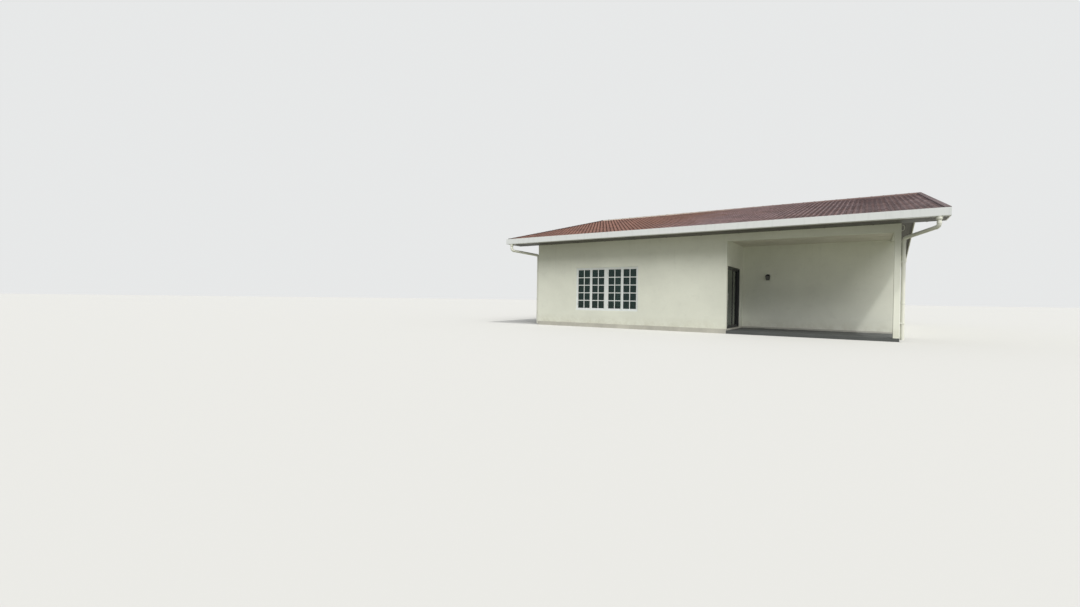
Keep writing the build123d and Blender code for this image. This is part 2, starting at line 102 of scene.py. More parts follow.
class Paint:
    """A material, with short names for the nodes this scene uses."""

    def __init__(self, name, rgb, roughness, metallic=0.0, **sockets):
        self.material = bpy.data.materials.new(name)
        self.material.use_nodes = True
        self.tree = self.material.node_tree
        self.shader = self.tree.nodes["Principled BSDF"]
        self.base = linear(rgb)
        self.shader.inputs["Base Color"].default_value = self.base
        self.shader.inputs["Roughness"].default_value = roughness
        self.shader.inputs["Metallic"].default_value = metallic
        for key, value in sockets.items():
            self.shader.inputs[key.replace("_", " ")].default_value = value
        coordinates = self.tree.nodes.new("ShaderNodeTexCoord")
        self.place, self.normal = coordinates.outputs["Object"], coordinates.outputs["Normal"]

    def put(self, socket, value):
        """Links a socket to another, or sets its value."""
        if isinstance(value, bpy.types.NodeSocket):
            self.tree.links.new(value, socket)
        else:
            socket.default_value = value

    def node(self, kind, **inputs):
        """A node with its inputs by name."""
        made = self.tree.nodes.new(kind)
        for key, value in inputs.items():
            self.put(made.inputs[key.replace("_", " ")], value)
        return made

    def stretched(self, x, y, z):
        """Coordinates scaled along each axis."""
        made = self.node("ShaderNodeMapping", Vector=self.place)
        made.inputs["Scale"].default_value = (x, y, z)
        return made.outputs["Vector"]

    def noise(self, scale, detail, rough=0.55, at=None):
        """Noise from 0 to 1, with scale bumps to the metre."""
        place = at or self.place
        made = self.node(
            "ShaderNodeTexNoise", Vector=place, Scale=scale, Detail=detail, Roughness=rough
        )
        return made.outputs["Fac"]

    def spread(self, value, low, high, to_low=0.0, to_high=1.0):
        """A value mapped from one range to another, and held at its ends."""
        made = self.node("ShaderNodeMapRange", Value=value)
        made.inputs["From Min"].default_value = low
        made.inputs["From Max"].default_value = high
        made.inputs["To Min"].default_value = to_low
        made.inputs["To Max"].default_value = to_high
        return made.outputs["Result"]

    def math(self, operation, a, b=0.0):
        """Arithmetic on two values."""
        made = self.tree.nodes.new("ShaderNodeMath")
        made.operation = operation
        self.put(made.inputs[0], a)
        self.put(made.inputs[1], b)
        return made.outputs[0]

    def axis(self, name, vector=None):
        """One coordinate of the place, or of another vector."""
        return self.node("ShaderNodeSeparateXYZ", Vector=vector or self.place).outputs[name]

    def attribute(self, name):
        """A value kept on the mesh's points."""
        made = self.tree.nodes.new("ShaderNodeAttribute")
        made.attribute_name = name
        return made.outputs["Fac"]

    def mix(self, amount, a, b, blend="MIX"):
        """Colour a with some of colour b over it."""
        made, share, first, second, result = mix_colours(self.tree)
        made.blend_type = blend
        self.put(share, amount)
        self.put(first, a)
        self.put(second, b)
        return result

    def colour(self, value):
        """Sets the base colour."""
        self.put(self.shader.inputs["Base Color"], value)

    def gloss(self, value):
        """Sets the roughness."""
        self.put(self.shader.inputs["Roughness"], value)

    def bump(self, height, depth, strength, under=None):
        """Adds a bump, over another where one is given."""
        made = self.node("ShaderNodeBump", Height=height, Strength=strength, Distance=depth)
        if under:
            self.put(made.inputs["Normal"], under)
        self.put(self.shader.inputs["Normal"], made.outputs["Normal"])
        return made.outputs["Normal"]


def wall_render(name, rgb, foot):
    """Painted cement render: faint mottling, rain streaks and a splashed foot."""
    p = Paint(name, rgb, 0.82)
    broad = p.spread(p.noise(0.7, 6, 0.6), 0.35, 0.72)
    colour = p.mix(broad, p.base, toned(rgb, 0.95))
    patches = p.spread(p.noise(4.5, 6, 0.65), 0.55, 0.75, 0.0, 0.3)
    colour = p.mix(patches, colour, toned(rgb, 0.9))
    high = p.spread(p.axis("Z"), 1.2, 3.3)
    runs = p.spread(p.noise(1.0, 5, 0.65, p.stretched(7.0, 7.0, 0.35)), 0.58, 0.8, 0.0, 0.3)
    colour = p.mix(p.math("MULTIPLY", high, runs), colour, toned(rgb, 0.84))
    low = p.spread(p.axis("Z"), 0.10, 0.50, 1.0, 0.0)
    splash = p.spread(p.noise(4.0, 6, 0.68), 0.38, 0.72, 0.1, 0.75)
    p.colour(p.mix(p.math("MULTIPLY", low, splash), colour, linear(foot)))
    rough = p.bump(p.noise(95, 3, 0.6), 0.0012, 0.55)
    p.bump(p.noise(1.6, 3), 0.006, 0.35, rough)
    p.gloss(p.spread(p.noise(7, 3), 0.3, 0.7, 0.74, 0.9))
    return p.material


def concrete(name, rgb, tile_size=0.0):
    """Trowelled concrete, or floor tiles where their size is given."""
    p = Paint(name, rgb, 0.8)
    clouds = p.spread(p.noise(1.1, 6, 0.65), 0.34, 0.7)
    colour = p.mix(clouds, p.base, toned(rgb, 0.86))
    specks = p.spread(p.noise(38, 4, 0.7), 0.62, 0.75, 0.0, 0.5)
    colour = p.mix(specks, colour, toned(rgb, 0.8))
    if tile_size:
        made = p.node("ShaderNodeTexBrick", Vector=p.place, Scale=1.0)
        made.offset = 0.0
        made.inputs["Color1"].default_value = toned(rgb, 1.02)
        made.inputs["Color2"].default_value = toned(rgb, 0.95)
        made.inputs["Mortar"].default_value = toned(rgb, 0.62)
        made.inputs["Mortar Size"].default_value = 0.004
        made.inputs["Brick Width"].default_value = tile_size
        made.inputs["Row Height"].default_value = tile_size
        colour = p.mix(0.6, colour, made.outputs["Color"], "MULTIPLY")
        p.bump(made.outputs["Fac"], -0.002, 0.6)
    else:
        p.bump(p.noise(60, 4, 0.6), 0.001, 0.5)
    p.colour(colour)
    return p.material


def roof_tile(name, rgb):
    """Weathered clay-coloured tile: paler rib tops (wear and painted highlight), darker valleys
    (dirt and painted shade), grey growth with a painted sky sheen, dirt and painted shade on the
    noses, and a tone for each tile.
    """
    p = Paint(name, rgb, 0.78)
    # Lower on the profile is darker and higher is paler: dirt and wear, with painted shade in the
    # valleys and painted highlight on the ribs
    valley_dirt_and_shade = p.mix(0.7, p.base, linear((52, 30, 24)))
    rib_wear_and_highlight = p.mix(0.5, p.base, linear((146, 100, 80)))
    colour = p.mix(p.spread(p.attribute("rib_wear_and_highlight"), 0.1, 0.8, 0.0, 0.85), valley_dirt_and_shade, rib_wear_and_highlight)
    # More grey growth on the right half of the house, as seen from the street, and with it a
    # painted sky sheen
    ragged = p.spread(p.noise(0.9, 5, 0.6), 0.2, 0.8, -1.5, 1.5)
    right = p.spread(p.math("ADD", p.axis("X"), ragged), -1.5, 1.0)
    growth_and_sheen = p.spread(p.noise(0.4, 7, 0.68), 0.3, 0.6, 0.55, 0.88)
    growth_and_sheen = p.math("MULTIPLY", growth_and_sheen, p.spread(right, 0.0, 1.0, 0.15, 1.0))
    # The grey is darker in the middle of the house than at its right end, where it is lighter as a
    # painted highlight against the shading of the ribs
    far_right = p.spread(p.axis("X"), 2.0, 6.0)
    grey = p.mix(far_right, linear((106, 90, 93)), linear((130, 117, 120)))
    colour = p.mix(growth_and_sheen, colour, grey)
    rain = p.spread(p.noise(3.0, 5, 0.62, p.stretched(2.2, 0.25, 0.25)), 0.5, 0.75, 0.0, 0.4)
    colour = p.mix(rain, colour, linear((86, 68, 64)))
    lichen = p.spread(p.noise(21, 4, 0.6), 0.66, 0.76, 0.0, 0.4)
    colour = p.mix(lichen, colour, linear((150, 144, 130)))
    # Dark dirt and painted shade on the noses, which face down the slope
    noses = p.spread(p.axis("Z", p.normal), 0.05, 0.4, 1.0, 0.0)
    dirt_and_shade = p.math("MULTIPLY", noses, p.spread(right, 0.0, 1.0, 1.0, 0.2))
    colour = p.mix(dirt_and_shade, colour, linear((44, 26, 20)))
    tone = p.mix(p.attribute("tone"), (0.74, 0.73, 0.73, 1), (1.26, 1.25, 1.23, 1))
    p.colour(p.mix(1.0, colour, tone, "MULTIPLY"))
    p.bump(p.noise(140, 3, 0.6), 0.0015, 0.5)
    p.gloss(p.spread(p.noise(9, 3), 0.3, 0.7, 0.72, 0.9))
    return p.material


def ridge_mortar(name, rgb, stained):
    """Rough mortar, pale at the left end of the ridge and stained dark towards the right."""
    p = Paint(name, rgb, 0.88)
    patch = p.spread(p.noise(2.2, 6, 0.65), 0.3, 0.7, -0.25, 0.25)
    across = p.math("ADD", p.spread(p.axis("X"), -3.5, 2.0), patch)
    p.colour(p.mix(p.spread(across, 0.1, 0.9), p.base, linear(stained)))
    p.bump(p.noise(70, 4, 0.65), 0.002, 0.6)
    return p.material


def coated(name, rgb, roughness, metallic=0.0, dirt_and_shade=0.3, dents=0.0):
    """Paint or coating on metal, plastic or board, with faint rain marks."""
    p = Paint(name, rgb, roughness, metallic)
    marks = p.spread(p.noise(2.4, 5, 0.6, p.stretched(3.5, 3.5, 0.5)), 0.5, 0.78, 0.0, dirt_and_shade)
    colour = p.mix(marks, p.base, toned(rgb, 0.74))
    fine = p.spread(p.noise(26, 3, 0.6), 0.5, 0.8, 0.0, dirt_and_shade * 0.4)
    p.colour(p.mix(fine, colour, toned(rgb, 0.86)))
    p.gloss(p.spread(p.noise(6, 3), 0.3, 0.7, roughness - 0.06, roughness + 0.1))
    under = p.bump(p.noise(120, 2), 0.0004, 0.4)
    if dents:
        p.bump(p.noise(1.7, 2), dents, 0.5, under)
    return p.material


def boards(name, rgb, along, width, dark=0.6):
    """Painted boards with a narrow shadow joint, counted along the X or Y axis."""
    p = Paint(name, rgb, 0.6)
    step = p.math("DIVIDE", p.axis(along), width)
    part = p.math("FRACT", step)
    shade = p.tree.nodes.new("ShaderNodeTexWhiteNoise")
    shade.noise_dimensions = "1D"
    p.put(shade.inputs["W"], p.math("FLOOR", step))
    colour = p.mix(shade.outputs["Value"], toned(rgb, 0.9), toned(rgb, 1.06))
    # The grain is fine across the boards
    grain = p.stretched(40, 1.2, 40) if along == "X" else p.stretched(1.2, 40, 40)
    figure = p.spread(p.noise(1.0, 5, 0.6, grain), 0.35, 0.7, 0.0, 0.4)
    colour = p.mix(figure, colour, toned(rgb, 0.78))
    # The joint fades out 6 mm into each board
    edge = p.math("MINIMUM", part, p.math("SUBTRACT", 1.0, part))
    joint = p.spread(edge, 0.0, 0.006 / width, 1.0, 0.0)
    p.colour(p.mix(joint, colour, toned(rgb, dark * 0.5)))
    p.bump(joint, -0.003, 0.8)
    return p.material


def pane(name, rgb):
    """Greenish window glass, very slightly uneven."""
    green = (0.7, 1.0, 0.92, 1)
    p = Paint(name, rgb, 0.03, Transmission_Weight=1.0, IOR=1.48, Specular_Tint=green)
    p.gloss(p.spread(p.noise(3.5, 3), 0.35, 0.75, 0.015, 0.06))
    p.bump(p.noise(0.8, 2), 0.0006, 0.12)
    return p.material


def smoked_glass(name, rgb):
    """The dull, grey glass of the lantern."""
    p = Paint(name, rgb, 0.45, Transmission_Weight=0.55)
    p.bump(p.noise(60, 2), 0.001, 0.5)
    return p.material


cream = wall_render("cream_render", (226, 228, 216), (184, 181, 163))
slab_edge = concrete("slab_concrete", (190, 188, 178))
porch_tile = concrete("porch_floor_tile", (112, 115, 114), 0.3)
tile = roof_tile("roof_tile", (94, 63, 52))
mortar = ridge_mortar("ridge_mortar", (200, 192, 178), (112, 92, 86))
gutter_white = coated("gutter_white", (208, 211, 211), 0.34, dirt_and_shade=0.22, dents=0.004)
pipe_white = coated("pipe_white", (212, 213, 202), 0.42)
board_white = coated("bargeboard_paint", (218, 217, 204), 0.5, dirt_and_shade=0.4)
frame_white = coated("window_white", (222, 226, 225), 0.36, dirt_and_shade=0.16)
# The eave and gable boards are coloured dark as painted shade, for the deep shade under the eaves
# and verges
eave_boards = boards("eave_boards", (84, 82, 74), "Y", 0.1)
gable_boards = boards("gable_boards", (88, 85, 77), "X", 0.1)
ceiling_paint = coated("ceiling_paint", (214, 211, 198), 0.7, dirt_and_shade=0.2)
bronze = coated("dark_bronze", (48, 49, 50), 0.38, 0.35, dirt_and_shade=0.2)
black_metal = coated("lamp_black", (34, 33, 32), 0.45, 0.3)
door_wood = boards("door_wood", (122, 82, 52), "X", 0.13, dark=0.8)
steel = coated("fitting_steel", (176, 176, 172), 0.3, 0.9, dirt_and_shade=0.2)
rubber = coated("seal_rubber", (28, 28, 28), 0.7, dirt_and_shade=0.1)
glass = pane("window_glass", (84, 108, 102))
lamp_glass = smoked_glass("lamp_glass", (104, 106, 98))


# Mesh helpers


def up(height):
    """A vector straight up."""
    return Vector((0, 0, height))


def circle(sides):
    """(cosine, sine) of evenly spaced angles."""
    turns = [2 * math.pi * i / sides for i in range(sides)]
    return [(math.cos(t), math.sin(t)) for t in turns]


def border(a0, a1, z0, z1, band):
    """The strips of a border, as (a0, a1, z0, z1): bottom, top and two sides between them."""
    return [
        (a0, a1, z0, z0 + band),
        (a0, a1, z1 - band, z1),
        (a0, a0 + band, z0 + band, z1 - band),
        (a1 - band, a1, z0 + band, z1 - band),
    ]


class Shape:
    """Points and faces of one piece, added a form at a time."""

    # Faces of a box, over its corners in the order that block takes them
    BOX = ((0, 1, 3, 2), (4, 6, 7, 5), (0, 4, 5, 1), (2, 3, 7, 6), (0, 2, 6, 4), (1, 5, 7, 3))

    def __init__(self):
        self.points = []
        self.faces = []

    def add(self, points, faces):
        """Adds points, and faces that count from the first of them."""
        start = len(self.points)
        self.points.extend(points)
        self.faces.extend([tuple(start + i for i in f) for f in faces])

    def block(self, corners):
        """Eight corners: by the first axis, then the second, then the third."""
        self.add(corners, self.BOX)

    def box(self, low, high):
        """A box between two opposite corners."""
        (a, b, c), (d, e, f) = low, high
        self.block([(x, y, z) for x in (a, d) for y in (b, e) for z in (c, f)])

    def rings(self, rings):
        """A closed skin over rings with the same number of points, wound the same way."""
        n = len(rings[0])
        points = [p for ring in rings for p in ring]
        faces = []
        for k in range(len(rings) - 1):
            for i in range(n):
                j = (i + 1) % n
                faces.append((k * n + i, k * n + j, (k + 1) * n + j, (k + 1) * n + i))
        faces.append(tuple(range(n))[::-1])
        faces.append(tuple(range((len(rings) - 1) * n, len(rings) * n)))
        self.add(points, faces)

    def rod(self, start, end, radius, sides, ease=0.0):
        """A round bar; ease is the bevel at both ends."""
        start, end = Vector(start), Vector(end)
        length = (end - start).length
        along = (end - start).normalized()
        u = along.orthogonal().normalized()
        v = along.cross(u)
        stations = [(0, radius), (length, radius)]
        if ease:
            stations = [(ease, radius), (length - ease, radius)]
            stations = [(0, radius - ease), *stations, (length, radius - ease)]
        rings = []
        for s, r in stations:
            centre = start + along * s
            rings.append([tuple(centre + (u * c + v * t) * r) for c, t in circle(sides)])
        self.rings(rings)

    def make(self, name, material, slot, body="house", bevel=0.0, smooth=None, replaces=()):
        """Makes the piece. Edges sharper than smooth, in degrees, stay sharp."""
        mesh = bpy.data.meshes.new(name)
        mesh.from_pydata(self.points, [], self.faces)
        mesh.validate()
        mesh.materials.append(material)
        piece = bpy.data.objects.new(name, mesh)
        bpy.context.scene.collection.objects.link(piece)
        if smooth is not None:
            mesh.shade_smooth()
            mesh.set_sharp_from_angle(angle=math.radians(smooth))
        if bevel:
            soften = piece.modifiers.new("edges", "BEVEL")
            soften.width = bevel
            soften.segments = 2
            soften.limit_method = "ANGLE"
            soften.angle_limit = math.radians(40)
        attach(piece, body)
        if replaces:
            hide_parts(*replaces)
        return piece


# The carried-over solids


def dress(names, material):
    """Gives nodes of the frame a material of this scene."""
    for name in names.split():
        data = nodes[name].data
        data.materials.clear()
        data.materials.append(material)


dress("front_wall rear_wall left_wall right_wall porch_back_wall porch_side_wall", cream)
dress("porch_door_lintel porch_front_beam porch_side_beam porch_column", cream)
dress("floor_slab", slab_edge)
dress("porch_floor", porch_tile)
dress("room_ceiling porch_ceiling", ceiling_paint)
dress("front_fascia rear_fascia bargeboards eave_returns", board_white)
dress("front_soffit rear_soffit", eave_boards)
dress("front_gutter rear_gutter", gutter_white)
dress("front_left_downpipe front_right_downpipe rear_downpipes", pipe_white)
for elevation in ("front", "side", "rear"):
    dress(f"{elevation}_window_frames {elevation}_window_sashes", frame_white)
    dress(f"{elevation}_window_glass", glass)
dress("sliding_door_frame sliding_door_fixed_panel sliding_door_leaf", bronze)
dress("sliding_door_fixed_glass sliding_door_leaf_glass", glass)
dress("rear_door_frame rear_door", door_wood)

# Roof covering. Distances s run down the slope from the ridge, and n is square to it.

TILE_THICK = 0.016
RIB_RISE = 0.026
GAUGE = 0.310  # from one course to the next
LAP = 0.07
COURSES = 28
ACROSS = 46  # tiles in a course
LAYER = 0.0395  # underside of the tiles, below the part's roof surface
BOARDING, BOARDING_UNDER = 0.040, 0.080  # top and underside of the boarding, below it
DRIP = 8.46  # ridge line to the noses at the eave
X_TILES = 6.99
TOP_END = 0.05  # where the top course ends, under the ridge tiles
SLIP = 0.003  # how far a nose may be out of line, either way
NOSE_LIFT = 0.0018  # how far a nose may stand up
# Across one tile: (share of its width, share of the ribs' height)
PROFILE = (
    (0.004, 0), (0.11, 0), (0.17, 0.8), (0.25, 1), (0.33, 0.8), (0.39, 0),
    (0.61, 0), (0.67, 0.8), (0.75, 1), (0.83, 0.8), (0.89, 0), (0.996, 0),
)


def on_roof(x, s, n, side):
    """A point over the roof surface; side is -1 towards the street and 1 towards the garden."""
    y = s * math.cos(PITCH) + n * math.sin(PITCH)
    return (x, side * y, RIDGE_TOP - s * math.sin(PITCH) + n * math.cos(PITCH))


def tile_faces(n):
    """Faces of one tile over four rows of n points: top and underside of its head, then nose."""
    top0, under0, top1, under1 = 0, n, 2 * n, 3 * n
    faces = []
    for i in range(n - 1):
        faces.append((top0 + i, top1 + i, top1 + i + 1, top0 + i + 1))
        faces.append((under0 + i, under0 + i + 1, under1 + i + 1, under1 + i))
        faces.append((top1 + i, under1 + i, under1 + i + 1, top1 + i + 1))
        faces.append((top0 + i, top0 + i + 1, under0 + i + 1, under0 + i))
    end = n - 1
    faces.append((top0, under0, under1, top1))
    faces.append((top0 + end, top1 + end, under1 + end, under0 + end))
    return faces


def roof_tiles(side, name, node):
    """Interlocking tiles with two ribs each, every one a thin closed shell lapped on the next."""
    made = Shape()
    tones, rib_wear_and_highlight_shares = [], []
    width = 2 * X_TILES / ACROSS
    faces = tile_faces(len(PROFILE))
    if side > 0:
        faces = [f[::-1] for f in faces]
    for row in range(COURSES):
        course = DRIP / math.cos(PITCH) - row * GAUGE
        head = max(course - GAUGE - LAP, TOP_END)
        for column in range(ACROSS):
            nose = course + random.uniform(-SLIP, SLIP)
            lifted = random.uniform(0, NOSE_LIFT)
            tone = random.random()
            nose_rise = (nose - head) * TILE_THICK / GAUGE + lifted
            points = []
            for s, rise in ((head, 0.0), (nose, nose_rise)):
                for level in (rise - LAYER + TILE_THICK, rise - LAYER):
                    for share, height in PROFILE:
                        x = -X_TILES + (column + share) * width
                        points.append(on_roof(x, s, level + height * RIB_RISE, side))
            made.add(points, faces)
            tones.extend([tone] * len(points))
            # The ribs' height at each point, which sets the wear and painted highlight on the ribs
            # and the dirt and painted shade in the valleys
            rib_wear_and_highlight_shares.extend([height for _, height in PROFILE] * 4)
    piece = made.make(name, tile, "roof_tile", smooth=48, replaces=[node])
    for key, values in (("tone", tones), ("rib_wear_and_highlight", rib_wear_and_highlight_shares)):
        attribute = piece.data.attributes.new(key, "FLOAT", "POINT")
        attribute.data.foreach_set("value", values)


for side, where in SIDES:
    roof_tiles(side, f"roof_tiles_{where}", f"{where}_roof_slope")

# Boarded decks under the tiles, also seen from below at the gables
for side, where in SIDES:
    deck = Shape()
    deck.block(
        [
            (x, side * y, RIDGE_TOP - y * math.tan(PITCH) - depth / math.cos(PITCH))
            for x in (-X_SLAB, X_SLAB)
            for y in (0.0, Y_EAVE)
            for depth in (BOARDING_UNDER, BOARDING)
        ]
    )
    deck.make(f"roof_deck_{where}", gable_boards, "painted_timber")

# Verge tiles: an angle over the outer tiles and down the face of the bargeboard. The
# section is (distance past the verge, height over the roof surface).
VERGE_SECTION = (
    (-0.120, -0.020), (-0.120, 0.015), (-0.112, 0.022), (0.002, 0.024), (0.012, 0.015),
    (0.013, -0.082), (0.001, -0.084), (0.001, 0.004), (-0.106, 0.002), (-0.108, -0.020),
)
VERGE_PAST_EAVE = 0.012
VERGE_LAP = 0.05
VERGE_TOP_END = 0.03
VERGE_NOSE = 0.02  # level part behind a nose
VERGE_RISE, VERGE_SINK = 0.006, -0.002  # of nose and head


def verge_tiles(side, name):
    """The verge tiles of both ends of one slope."""
    verge = Shape()
    for end in (-1, 1):
        for row in range(COURSES):
            course = Y_FASCIA / math.cos(PITCH) + VERGE_PAST_EAVE - row * GAUGE
            nose = course + random.uniform(-SLIP, SLIP)
            head = max(nose - GAUGE - VERGE_LAP, VERGE_TOP_END)
            rings = []
            stations = (nose, VERGE_RISE), (nose - VERGE_NOSE, VERGE_RISE), (head, VERGE_SINK)
            for s, rise in stations:
                ring = [
                    on_roof(end * (X_VERGE + past), s, n + rise, side)
                    for past, n in VERGE_SECTION
                ]
                rings.append(ring[::-1] if end * side < 0 else ring)
            verge.rings(rings)
    verge.make(name, tile, "roof_tile", smooth=40)


for side, where in SIDES:
    verge_tiles(side, f"verge_tiles_{where}")

# Ridge tiles: half rounds with a raised rim over the end of the last one
RIDGE_PROUD = 0.042  # their crown, over the crest of the slopes
RIDGE_RADIUS = 0.110
RIDGE_CENTRE = RIDGE_TOP + RIDGE_PROUD - RIDGE_RADIUS
RIDGE_SHELL = 0.013
RIDGE_ARC = range(20, 161, 10)  # degrees
RIDGE_TILES = 34
RIDGE_LENGTH = 2 * X_VERGE / RIDGE_TILES
RIM_END, RIM_FOOT, RIM_RISE = 0.05, 0.056, 0.008  # along the tile, and its height
RIDGE_UNEVEN = 0.0015  # how far a tile may lie high or low


def ridge_arc(x, radius, lift, degrees):
    """Points of an arc over the ridge."""
    angles = [math.radians(a) for a in degrees]
    return [(x, radius * math.cos(a), RIDGE_CENTRE + lift + radius * math.sin(a)) for a in angles]


ridge = Shape()
for k in range(RIDGE_TILES):
    lift = random.uniform(-RIDGE_UNEVEN, RIDGE_UNEVEN)
    rings = []
    for along, radius in (
        (0.0, RIDGE_RADIUS),
        (RIM_END, RIDGE_RADIUS),
        (RIM_FOOT, RIDGE_RADIUS - RIM_RISE),
        (RIDGE_LENGTH, RIDGE_RADIUS - RIM_RISE),
    ):
        x = min(-X_VERGE + k * RIDGE_LENGTH + along, X_VERGE)
        outside = ridge_arc(x, radius, lift, RIDGE_ARC)
        inside = ridge_arc(x, radius - RIDGE_SHELL, lift, RIDGE_ARC[::-1])
        rings.append(outside + inside)
    ridge.rings(rings)
ridge.make("ridge_tiles", tile, "roof_tile", smooth=40, replaces=["ridge_cap"])

# Their mortar: a wavy bed on each slope and a plug in each end
BED_STEPS = 140
BED_END = X_VERGE - 0.01
BED_START, BED_SHOULDER, BED_REACH = 0.060, 0.092, 0.118  # down the slope
BED_UNDER, BED_LIP, BED_TOP = -0.02, 0.006, 0.022  # over the roof surface
BED_BATTER = 0.004  # how far its edge leans back
BED_WAVE, BED_WAVE_TURN, BED_ROUGH = 0.006, 41.4, 0.003  # the turn is in radians to the metre
PLUG_RADIUS = RIDGE_RADIUS - 0.016
PLUG_ARC = range(24, 157, 12)  # degrees
PLUG_FACE, PLUG_BACK = 0.006, 0.03  # in from the verge
PLUG_FOOT, PLUG_DEPTH = 0.05, 0.03
bed = Shape()
for side, _ in SIDES:
    rings = []
    for k in range(BED_STEPS + 1):
        x = (2 * k / BED_STEPS - 1) * BED_END
        wave = BED_WAVE * math.sin(x * BED_WAVE_TURN) + random.uniform(-BED_ROUGH, BED_ROUGH)
        reach = BED_REACH + wave
        section = (
            (BED_START, BED_UNDER),
            (reach, BED_UNDER),
            (reach - BED_BATTER, BED_LIP),
            (BED_SHOULDER, BED_TOP),
            (BED_START, BED_TOP),
        )
        rings.append([on_roof(x, s, n, side) for s, n in section])
    bed.rings(rings)
for x0, x1 in (
    (-X_VERGE + PLUG_FACE, -X_VERGE + PLUG_BACK),
    (X_VERGE - PLUG_BACK, X_VERGE - PLUG_FACE),
):
    rings = []
    for x in (x0, x1):
        foot = [(x, y, RIDGE_TOP - PLUG_DEPTH) for y in (-PLUG_FOOT, PLUG_FOOT)]
        rings.append(ridge_arc(x, PLUG_RADIUS, 0.0, PLUG_ARC) + foot)
    bed.rings(rings)
bed.make("ridge_mortar", mortar, "roof_tile", smooth=60)

# Windows. Depths are behind the wall's face.

# Repeated from the part. The last four of them are the middles of the windows.
FRAME, POST, MULLION, STILE = 0.05, 0.11, 0.03, 0.035
GLASS_FRONT, GLASS_BACK = 0.0625, 0.0675
WIDE, NARROW = 2.6, 1.4  # a window of two pairs of casements, and of one
STREET_X = -2.95
LEFT_Y = (-5.0667, 0.0, 5.0667)
RIGHT_Y = (-2.9833, 1.25, 5.4833)
GARDEN_X = (-3.9, 0.4)

PANE_ROWS = 5
BAR, BAR_DEPTH = 0.030, 0.011
BEAD, BEAD_DEPTH = 0.009, 0.008
HINGE_FROM_END, HINGE_DEPTH = 0.18, 0.042
HINGE_HALF, HINGE_RADIUS = 0.035, 0.006


def wall_frame(face, centre):
    """(point, across, outward) for a window on the street, left, right or garden side."""
    if face == "street":
        return Vector((centre, Y_FRONT, SILL)), Vector((1, 0, 0)), Vector((0, -1, 0))
    if face == "garden":
        return Vector((centre, Y_BACK, SILL)), Vector((-1, 0, 0)), Vector((0, 1, 0))
    if face == "left":
        return Vector((X_LEFT, centre, SILL)), Vector((0, -1, 0)), Vector((-1, 0, 0))
    return Vector((X_RIGHT, centre, SILL)), Vector((0, 1, 0)), Vector((1, 0, 0))


def window_box(shape, wall, extent, depths):
    """A box in a window's own axes; extent is (a0, a1, z0, z1), across and up."""
    at, across, outward = wall
    a0, a1, z0, z1 = extent
    shape.block(
        [
            tuple(at + across * a - outward * d + up(z))
            for a in (a0, a1)
            for d in depths
            for z in (z0, z1)
        ]
    )


def casements(width, pairs):
    """The width of each casement opening, and (middle, hand) for each of them."""
    pair = (width - 2 * FRAME - (pairs - 1) * POST) / pairs
    opening = (pair - MULLION) / 2
    middles = [(pair + POST) * (i - (pairs - 1) / 2) for i in range(pairs)]
    shift = (opening + MULLION) / 2
    return opening, [(middle + hand * shift, hand) for middle in middles for hand in (-1, 1)]


def window_details(name, places, width, pairs):
    """Glazing bars on both faces of the panes, the seal round them, and the hinges."""
    bars, beads, fittings = Shape(), Shape(), Shape()
    opening, lights = casements(width, pairs)
    half = opening / 2 - STILE
    low, high = FRAME + STILE, WINDOW_HEIGHT - FRAME - STILE
    outside = GLASS_FRONT - BAR_DEPTH, GLASS_FRONT
    inside = GLASS_BACK, GLASS_BACK + BAR_DEPTH
    for face, centre in places:
        wall = wall_frame(face, centre)
        at, across, outward = wall
        for middle, hand in lights:
            left, right = middle - BAR / 2, middle + BAR / 2
            for depths in (outside, inside):
                window_box(bars, wall, (left, right, low, high), depths)
                for k in range(1, PANE_ROWS):
                    z = low + (high - low) * k / PANE_ROWS
                    for a0, a1 in ((middle - half, left - HAIR), (right + HAIR, middle + half)):
                        window_box(bars, wall, (a0, a1, z - BAR / 2, z + BAR / 2), depths)
            for strip in border(middle - half, middle + half, low, high, BEAD):
                window_box(beads, wall, strip, (GLASS_FRONT - BEAD_DEPTH, GLASS_FRONT))
            for z in (FRAME + HINGE_FROM_END, WINDOW_HEIGHT - FRAME - HINGE_FROM_END):
                pin = at + across * (middle + hand * opening / 2) - outward * HINGE_DEPTH + up(z)
                ends = pin - up(HINGE_HALF), pin + up(HINGE_HALF)
                fittings.rod(*ends, HINGE_RADIUS, sides=12, ease=0.001)
    bars.make(f"{name}_window_bars", frame_white, "white_window", bevel=0.0025)
    beads.make(f"{name}_window_beads", rubber, "white_window")
    fittings.make(f"{name}_window_hinges", steel, "white_window", smooth=40)


side_windows = [("left", y) for y in LEFT_Y] + [("right", y) for y in RIGHT_Y]
window_details("front", [("street", STREET_X)], WIDE, 2)
window_details("side", side_windows, NARROW, 1)
window_details("rear", [("garden", x) for x in GARDEN_X], NARROW, 1)

# Gutters: the joints of their lengths, and straps across their tops

